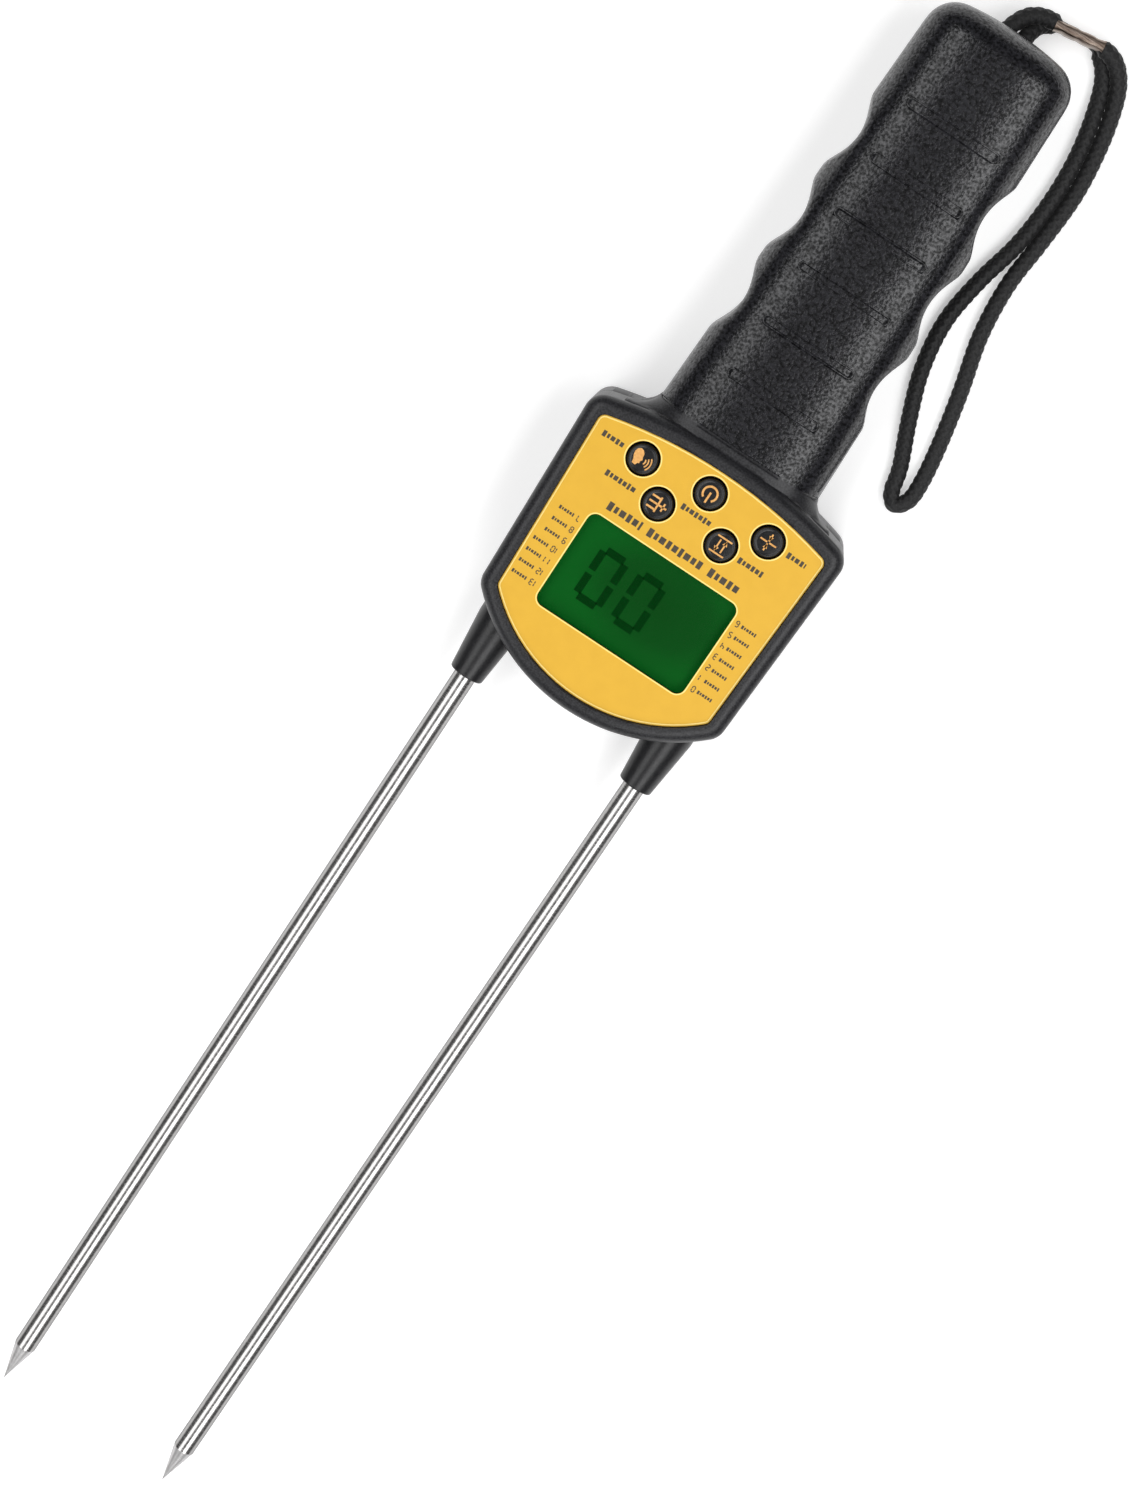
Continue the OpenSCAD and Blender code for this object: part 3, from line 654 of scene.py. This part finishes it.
def rounded_outline(low_y, low_r, high_y, high_r, low_hw, high_hw, corner_r, count=300):
    """Two arcs between leaning flanks, with round corners: (point, outward direction) pairs."""
    reach_low, reach_high = low_r - corner_r, high_r - corner_r
    centre_low, centre_high = low_y + low_r, high_y - high_r
    mid, half = (low_y + high_y) / 2, (high_y - low_y) / 2 - corner_r
    inner = []
    for i in range(401):
        y = mid - half * math.cos(math.pi * i / 400)
        share = min(max((y - FLANK_LOW_Y) / (FLANK_HIGH_Y - FLANK_LOW_Y), 0), 1)
        x = min(low_hw + (high_hw - low_hw) * share - corner_r,
                math.sqrt(max(0, reach_low ** 2 - (y - centre_low) ** 2)),
                math.sqrt(max(0, reach_high ** 2 - (y - centre_high) ** 2)))
        inner += [(x, y), (-x, y)]
    out = []
    for i in range(count):
        a = 2 * math.pi * i / count
        c, s = math.cos(a), math.sin(a)
        x, y = max(inner, key=lambda q: q[0] * c + q[1] * s)
        out.append((Vector((x + corner_r * c, y + corner_r * s)), Vector((c, s))))
    return out


def head_plan(z):
    """The head's outline at a height: its lower arc leans in towards the front."""
    lean = HEAD_LEAN * max(0, z - MID_Z) / (HEAD_TOP - MID_Z)
    return rounded_outline(HEAD_LOW_Y + lean, HEAD_LOW_R - lean, HEAD_HIGH_Y, HEAD_HIGH_R,
                           HEAD_LOW_HW, HEAD_HIGH_HW, HEAD_CORNER_R)


def head_skin():
    rows = []
    for i in range(9):
        a = math.radians(90 * i / 8)
        rows.append((HEAD_EDGE_R * (1 - math.sin(a)), HEAD_EDGE_R * (1 - math.cos(a))))
    low = [(inset, z) for inset, z in rows]
    rings = low + [(0, MID_Z - 0.35 * MM), (PARTING, MID_Z), (0, MID_Z + 0.35 * MM)]
    rings += [(inset, HEAD_TOP - z) for inset, z in reversed(rows)]
    bm = bmesh.new()
    close_rings(bm, [[(*(p - n * inset), z) for p, n in head_plan(z)] for inset, z in rings])
    return bm


def object_from(bm, name):
    bmesh.ops.recalc_face_normals(bm, faces=bm.faces)
    mesh = bpy.data.meshes.new(name)
    bm.to_mesh(mesh)
    bm.free()
    obj = bpy.data.objects.new(name, mesh)
    bpy.context.scene.collection.objects.link(obj)
    return obj


def cut(obj, operation, tool):
    """Applies an exact boolean to the object's mesh."""
    change = obj.modifiers.new("cut", "BOOLEAN")
    change.operation = operation
    change.solver = "EXACT"
    change.object = tool
    bpy.context.view_layer.update()
    solid = bpy.data.meshes.new_from_object(obj.evaluated_get(bpy.context.evaluated_depsgraph_get()))
    obj.modifiers.clear()
    obj.data = solid


def cad_copy(node, name):
    bm = bmesh.new()
    bm.from_mesh(frame["nodes"][node].data)
    bmesh.ops.remove_doubles(bm, verts=bm.verts, dist=2e-6)
    bmesh.ops.dissolve_limit(bm, angle_limit=math.radians(0.3), verts=bm.verts, edges=bm.edges)
    for layer in list(bm.loops.layers.float_vector.values()):
        bm.loops.layers.float_vector.remove(layer)
    return object_from(bm, name)


def rib_outline(y, grow):
    """A long oblong; its straight sides have points close enough to follow the skin."""
    half, r = RIB_L / 2 - RIB_W / 2, RIB_W / 2 + grow
    side = [(-half + 2 * half * i / 24, y - r) for i in range(24)]
    right = side + [(half + r * math.cos(a), y + r * math.sin(a))
                    for a in (math.radians(-90 + 15 * i) for i in range(12))]
    return right + [(-x, 2 * y - yy) for x, yy in right]


def skin_z(x, y):
    """Height of the grip's front skin over a point of its plan."""
    half_x, half_z = plan_x(y), (GRIP_TOP - MID_Z) * dome_share(y)
    return MID_Z + half_z * (1 - min(abs(x / half_x), 1) ** FRONT_POWER) ** (1 / FRONT_POWER)


def rib_depth(x):
    """The groove round a rib is deepest at the rib's ends."""
    return 0.015 * MM + 0.16 * MM * smooth_step((abs(x) - 8 * MM) / (3 * MM))


def rib_grooves():
    """Cutters for the shallow grooves that outline the six cross ribs."""
    bm = bmesh.new()
    for i in range(6):
        y = RIB_Y + i * RIB_PITCH
        inner, outer = rib_outline(y, -0.12 * MM), rib_outline(y, 0.1 * MM)
        rows = []
        for line, dz in ((inner, None), (outer, None), (outer, 1 * MM), (inner, 1 * MM)):
            rows.append([bm.verts.new((*q, skin_z(*q) + (dz or -rib_depth(q[0])))) for q in line])
        count = len(inner)
        for k in range(count):
            j = (k + 1) % count
            for a, b in ((0, 1), (1, 2), (2, 3), (3, 0)):
                bm.faces.new((rows[a][k], rows[a][j], rows[b][j], rows[b][k]))
    return object_from(bm, "rib_grooves")


def finish_shell(obj, body, node):
    """Shades a cut shell and lets it stand for its CAD node."""
    obj.data.shade_smooth()
    obj.data.set_sharp_from_angle(angle=math.radians(28))
    dress(obj, MATERIALS[SLOT_OF[node]])
    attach(obj, body)
    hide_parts(node)


def make_shells():
    skin = object_from(head_skin(), "skin")
    grip = object_from(grip_skin(), "grip")
    cut(skin, "UNION", grip)
    grooves = rib_grooves()
    for node, name, body in (("front_shell", "front_body", "housing"),
                             ("rear_shell", "rear_body", "housing"),
                             ("battery_door", "door_cover", "battery_door")):
        shell = cad_copy(node, name)
        cut(shell, "INTERSECT", grip if node == "battery_door" else skin)
        if node == "front_shell":
            cut(shell, "DIFFERENCE", grooves)
        finish_shell(shell, body, node)
    for tool in (skin, grip, grooves):
        bpy.data.objects.remove(tool)


make_shells()


def make_door_ridges():
    """Thumb ridges and a slide arrow on the battery door."""
    low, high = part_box("battery_door")
    z0, z1 = low.z - 0.2 * MM, low.z + 0.1 * MM
    bm = bmesh.new()
    for i in range(7):
        y = high.y - 22 * MM - i * 2.2 * MM
        bar(bm, (-8 * MM, y), (8 * MM, y), 1.0 * MM, z0, z1)
    arrow(bm, (0, high.y - 46 * MM), (0, 1), 6 * MM, z0, z1)
    add_piece("door_ridges", bm, MATERIALS["shell_black"], "battery_door", "shell_black")


make_door_ridges()


# ---------- collars: tapered sleeves with rounded lips ----------
def make_collars():
    for node in ("collar_left", "collar_right"):
        low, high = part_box(node)
        axis = Matrix.Translation(((low.x + high.x) / 2, 0, (low.z + high.z) / 2)) @ \
            Matrix.Rotation(math.radians(-90), 4, "X")
        bore, r_low, r_wall = 2.55 * MM, 4.65 * MM, 6.2 * MM
        flange_r, flange_y, wall_y = (high.x - low.x) / 2, high.y - 3 * MM, 32 * MM
        lip = 0.5 * MM
        profile = [(bore, high.y), (bore, low.y + 1.2 * MM), (3.05 * MM, low.y + 1.2 * MM),
                   (3.05 * MM, low.y + 0.15 * MM), (3.3 * MM, low.y)]
        for i in range(7):
            a = math.radians(90 * i / 6)
            profile.append((r_low - lip + lip * math.sin(a), low.y + lip - lip * math.cos(a)))
        profile += [(r_wall, wall_y), (r_wall, flange_y), (flange_r, flange_y), (flange_r, high.y),
                    (bore, high.y)]
        bm = bmesh.new()
        lathe(bm, profile, axis)
        bmesh.ops.remove_doubles(bm, verts=bm.verts, dist=1e-6)
        add_piece(node + "_sleeve", bm, MATERIALS["collar_black"], "housing", "collar_black", node,
                  smooth_below=40)


make_collars()


# ---------- keys ----------
def make_keys():
    for node in KEYS:
        low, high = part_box(node)
        centre = (low + high) / 2
        top = high.z
        r = 3.8 * MM
        profile = [(0, low.z), (1.6 * MM, low.z), (1.6 * MM, low.z + 3.8 * MM - 0.9 * MM),
                   (4.9 * MM, low.z + 3.8 * MM - 0.9 * MM), (4.9 * MM, low.z + 4.7 * MM - 0.9 * MM),
                   (r, low.z + 4.7 * MM - 0.9 * MM)]
        for a in range(0, 91, 15):
            c, s = math.cos(math.radians(a)), math.sin(math.radians(a))
            profile.append((r - 0.5 * MM * (1 - c), top - 0.5 * MM * (1 - s)))
        profile += [(3.1 * MM, top - 0.02 * MM), (2.95 * MM, top - 0.16 * MM),
                    (2.75 * MM, top - 0.14 * MM), (1.4 * MM, top - 0.1 * MM), (0, top - 0.09 * MM)]
        bm = bmesh.new()
        lathe(bm, profile, Matrix.Translation((centre.x, centre.y, 0)))
        add_piece(node + "_cap", bm, MATERIALS["key_black"], node, "key_black", node, smooth_below=50)


def icon_power(bm, c, z0, z1):
    arc_band(bm, c, 1.85 * MM, 0.52 * MM, -52, 232, z0, z1)
    bar(bm, (c[0], c[1] - 2.5 * MM), (c[0], c[1] + 0.4 * MM), 0.52 * MM, z0, z1)


def icon_sound(bm, c, z0, z1):
    """A talking head in profile with three waves."""
    prism(bm, [(c[0] + x * MM, c[1] + y * MM) for x, y in
               ((-1.9, -2.1), (-0.9, -2.2), (-0.6, -1.5), (-0.2, -1.4), (-0.3, -0.8), (0.1, -0.3),
                (-0.2, 0.3), (-0.3, 1.2), (-0.9, 1.9), (-1.7, 2.1), (-2.4, 1.6), (-2.7, 0.7),
                (-2.5, -0.3), (-2.1, -1.0))], z0, z1)
    for radius in (1.0, 1.75, 2.5):
        arc_band(bm, (c[0] - 0.1 * MM, c[1] - 0.4 * MM), radius * MM, 0.34 * MM, -40, 40, z0, z1)


def icon_target(bm, c, z0, z1):
    for dx, dy in ((1, 0), (-1, 0), (0, 1), (0, -1)):
        bar(bm, (c[0] + dx * 0.3 * MM, c[1] + dy * 0.3 * MM),
            (c[0] + dx * 2.3 * MM, c[1] + dy * 2.3 * MM), 0.42 * MM, z0, z1)
    for dy in (1, -1):
        arrow(bm, (c[0], c[1] + dy * 0.5 * MM), (0, -dy), 1.1 * MM, z0, z1)


def icon_level(bm, c, z0, z1):
    for y in (-1.5, 0, 1.5):
        bar(bm, (c[0] - 2.4 * MM, c[1] + y * MM), (c[0] - 0.1 * MM, c[1] + y * MM), 0.5 * MM, z0, z1)
    bar(bm, (c[0] + 0.1 * MM, c[1] - 2.1 * MM), (c[0] + 0.1 * MM, c[1] + 2.1 * MM), 0.48 * MM, z0, z1)
    bar(bm, (c[0] + 0.3 * MM, c[1]), (c[0] + 2.5 * MM, c[1]), 0.5 * MM, z0, z1)
    bar(bm, (c[0] + 1.5 * MM, c[1] - 1.1 * MM), (c[0] + 1.5 * MM, c[1] + 1.1 * MM), 0.46 * MM, z0, z1)


def icon_adjust(bm, c, z0, z1):
    for dy in (1, -1):
        bar(bm, (c[0] - 2.1 * MM, c[1] + dy * 2.1 * MM), (c[0] + 2.1 * MM, c[1] + dy * 2.1 * MM),
            0.42 * MM, z0, z1)
        x = c[0] + dy * 0.8 * MM
        bar(bm, (x, c[1] - 1.5 * MM), (x, c[1] + 1.5 * MM), 0.4 * MM, z0, z1)
        arrow(bm, (x, c[1] + dy * 1.8 * MM), (0, dy), 1.2 * MM, z0, z1)


ICONS = {"key_sound": icon_sound, "key_power": icon_power, "key_target": icon_target,
         "key_level": icon_level, "key_adjust": icon_adjust}


def make_icons():
    for node, draw in ICONS.items():
        low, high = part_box(node)
        bm = bmesh.new()
        top = high.z - 0.06 * MM
        draw(bm, ((low.x + high.x) / 2, (low.y + high.y) / 2), top - 0.12 * MM, top)
        add_piece(node + "_icon", bm, GOLD, node, "key_black")


make_keys()
make_icons()


# ---------- face print ----------
def face_loops():
    """The outlines of the overlay's top: its rim first, then its holes, each a list of points."""
    bm = bmesh.new()
    bm.from_mesh(frame["nodes"]["face_overlay"].data)
    bmesh.ops.remove_doubles(bm, verts=bm.verts, dist=2e-6)
    top = max(v.co.z for v in bm.verts)
    edges = [e for e in bm.edges if all(abs(v.co.z - top) < 1e-6 for v in e.verts)
             and sum(f.normal.z > 0.9 for f in e.link_faces) == 1]
    after = {}
    for e in edges:
        a, b = e.verts
        after.setdefault(a, []).append(b)
        after.setdefault(b, []).append(a)
    loops = []
    left = set(after)
    while left:
        start = min(left, key=lambda v: v.index)
        loop, here, came = [start], after[start][0], start
        while here is not start:
            loop.append(here)
            step = [v for v in after[here] if v is not came]
            came, here = here, step[0]
        left -= set(loop)
        loops.append([v.co.xy.copy() for v in loop])
    bm.free()
    loops.sort(key=lambda p: -max((a - b).length for a in p[::4] for b in p[::4]))
    return loops, top


def moved_line(loop, distance):
    """The closed line moved sideways: positive grows it, negative shrinks it."""
    area = sum(a.x * b.y - b.x * a.y for a, b in zip(loop, loop[1:] + loop[:1]))
    sign = 1 if area > 0 else -1
    out = []
    for i, p in enumerate(loop):
        d1 = (p - loop[i - 1]).normalized()
        d2 = (loop[(i + 1) % len(loop)] - p).normalized()
        n = Vector((d1.y + d2.y, -d1.x - d2.x)).normalized()
        out.append(tuple(p + n * sign * distance / max(0.5, n.dot(Vector((d1.y, -d1.x))))))
    return out


def make_face_lines():
    loops, top = face_loops()
    bm = bmesh.new()
    for i, loop in enumerate(loops):
        near, far = (-0.25 * MM, -0.6 * MM) if i == 0 else (0.04 * MM, 0.36 * MM)
        band(bm, moved_line(loop, near), moved_line(loop, far), top - 0.02 * MM, top + 0.02 * MM)
    add_piece("face_lines", bm, PALE, "housing", "overlay_yellow")


SEVEN = {0: "abcdef", 1: "bc", 2: "abged", 3: "abgcd", 4: "fgbc", 5: "afgcd", 6: "afgedc",
         7: "abc", 8: "abcdefg", 9: "abcdfg"}


def seven_segment(bm, digit, centre, width, height, thick, z0, z1, turned):
    """One digit of straight segments; turned reads from the probe's side."""
    w, h = width / 2, height / 2
    ends = {"a": ((-w, h), (w, h)), "b": ((w, h), (w, 0)), "c": ((w, 0), (w, -h)),
            "d": ((-w, -h), (w, -h)), "e": ((-w, 0), (-w, -h)), "f": ((-w, h), (-w, 0)),
            "g": ((-w, 0), (w, 0))}
    flip = -1 if turned else 1
    for name in SEVEN[digit]:
        a, b = (Vector(p) for p in ends[name])
        gap = (b - a).normalized() * thick * 0.3
        bar(bm, tuple(Vector(centre) + flip * (a + gap)), tuple(Vector(centre) + flip * (b - gap)),
            thick, z0, z1)


def word(bm, x0, x1, y, height, z0, z1):
    """A line of plain blocks that stands in for printed words; it spells nothing."""
    x, i = x0, 0
    while x < x1 - 0.3 * MM:
        width = min((0.6, 0.42, 0.68, 0.5)[i % 4] * height, x1 - x)
        tall = (1.0, 0.74, 0.74, 0.9, 0.74)[i % 5] * height
        bar(bm, (x, y), (x + width, y), tall, z0, z1)
        x += width + 0.24 * height
        i += 1


def make_face_marks():
    """Plain row numbers, and blocks where the real face has words."""
    low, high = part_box("display_window")
    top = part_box("face_overlay")[1].z
    mid = (low + high) / 2
    z0, z1 = top - 0.02 * MM, top + 0.03 * MM
    pitch, digit_w, digit_h = 3.3 * MM, 0.75 * MM, 1.5 * MM
    bm = bmesh.new()
    for row in range(7):
        y = mid.y + (row - 3) * pitch
        for side, number in ((1, row), (-1, 13 - row)):
            digits = [int(d) for d in str(number)]
            x = mid.x + side * 23.6 * MM
            for place, digit in enumerate(digits if side < 0 else reversed(digits)):
                seven_segment(bm, digit, (x + side * place * 1.25 * MM, y), digit_w, digit_h,
                              0.27 * MM, z0, z1, True)
            start = x + side * (1.2 + 1.25 * (len(digits) - 1)) * MM
            end = start + side * (3.6 + 0.9 * ((row * 3 + 1) % 3)) * MM
            word(bm, min(start, end), max(start, end), y, 0.95 * MM, z0, z1)
    title_y = high.y + 3.3 * MM
    for x0, x1 in ((-19.4, -9.6), (-7.6, 8.2), (10.4, 19.4)):
        word(bm, x0 * MM, x1 * MM, title_y, 2.3 * MM, z0, z1)
    for node, dx, dy, length in (("key_sound", -8.8, 0, 6), ("key_power", 0, -6.3, 8.4),
                                 ("key_target", 8.3, 0, 5.4), ("key_level", -10.6, -0.4, 9),
                                 ("key_adjust", 9.2, -0.4, 7.4)):
        a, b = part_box(node)
        x, y = (a.x + b.x) / 2 + dx * MM, (a.y + b.y) / 2 + dy * MM
        word(bm, x - length / 2 * MM, x + length / 2 * MM, y, 1.6 * MM, z0, z1)
    add_piece("face_marks", bm, INK, "housing", "overlay_yellow")


def make_display_digits():
    low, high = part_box("lcd_glass")
    mid = (low + high) / 2
    bm = bmesh.new()
    for x in (-10.8, 0.4):
        seven_segment(bm, 0, (mid.x + x * MM, mid.y), 6.4 * MM, 13.5 * MM, 2.0 * MM,
                      high.z - 0.02 * MM, high.z + 0.05 * MM, True)
    add_piece("display_digits", bm, SEGMENT, "housing", "lcd_green")


make_face_lines()
make_face_marks()
make_display_digits()


# ---------- stage and lights ----------
SOFTBOX_SIZE = (0.54, 2.2)
SOFTBOX_X, SOFTBOX_Y, SOFTBOX_Z = 0.5, -0.3, 0.95
WORLD_LIGHT = 0.12


def make_floor():
    bm = bmesh.new()
    bmesh.ops.create_grid(bm, x_segments=1, y_segments=1, size=4,
                          matrix=Matrix.Translation((0, 0, -0.1 * MM)))
    mesh = bpy.data.meshes.new("floor")
    bm.to_mesh(mesh)
    bm.free()
    floor = bpy.data.objects.new("floor", mesh)
    bpy.context.scene.collection.objects.link(floor)
    p = Paint("floor", 0.9, Emission_Color=(1, 1, 1, 1), Emission_Strength=0.45)
    p.colour(p.noise(3), (0.69, 0.69, 0.69), (0.72, 0.72, 0.72))
    p.bump(p.noise(400), 0.00002)
    dress(floor, p.mat)


def softbox(name, place, aim, size, power):
    """A rectangular lamp whose long side runs along Y."""
    data = bpy.data.lights.new(name, "AREA")
    data.shape = "RECTANGLE"
    data.size, data.size_y = size
    data.energy = power
    lamp = bpy.data.objects.new(name, data)
    lamp.location = place
    back = (Vector(place) - Vector(aim)).normalized()
    side = Vector((0, 1, 0)).cross(back).normalized()
    lamp.rotation_euler = Matrix((side, back.cross(side), back)).transposed().to_euler()
    bpy.context.scene.collection.objects.link(lamp)


def make_light():
    world = bpy.data.worlds.new("studio")
    world.use_nodes = True
    back = world.node_tree.nodes["Background"]
    back.inputs["Color"].default_value = (1, 1, 1, 1)
    back.inputs["Strength"].default_value = WORLD_LIGHT
    bpy.context.scene.world = world
    aim = (0, SOFTBOX_Y, 0)
    softbox("left_box", (-0.48, SOFTBOX_Y, SOFTBOX_Z), aim, SOFTBOX_SIZE, 10.5)
    softbox("right_box", (SOFTBOX_X, SOFTBOX_Y, SOFTBOX_Z), aim, SOFTBOX_SIZE, 15)


make_floor()
make_light()
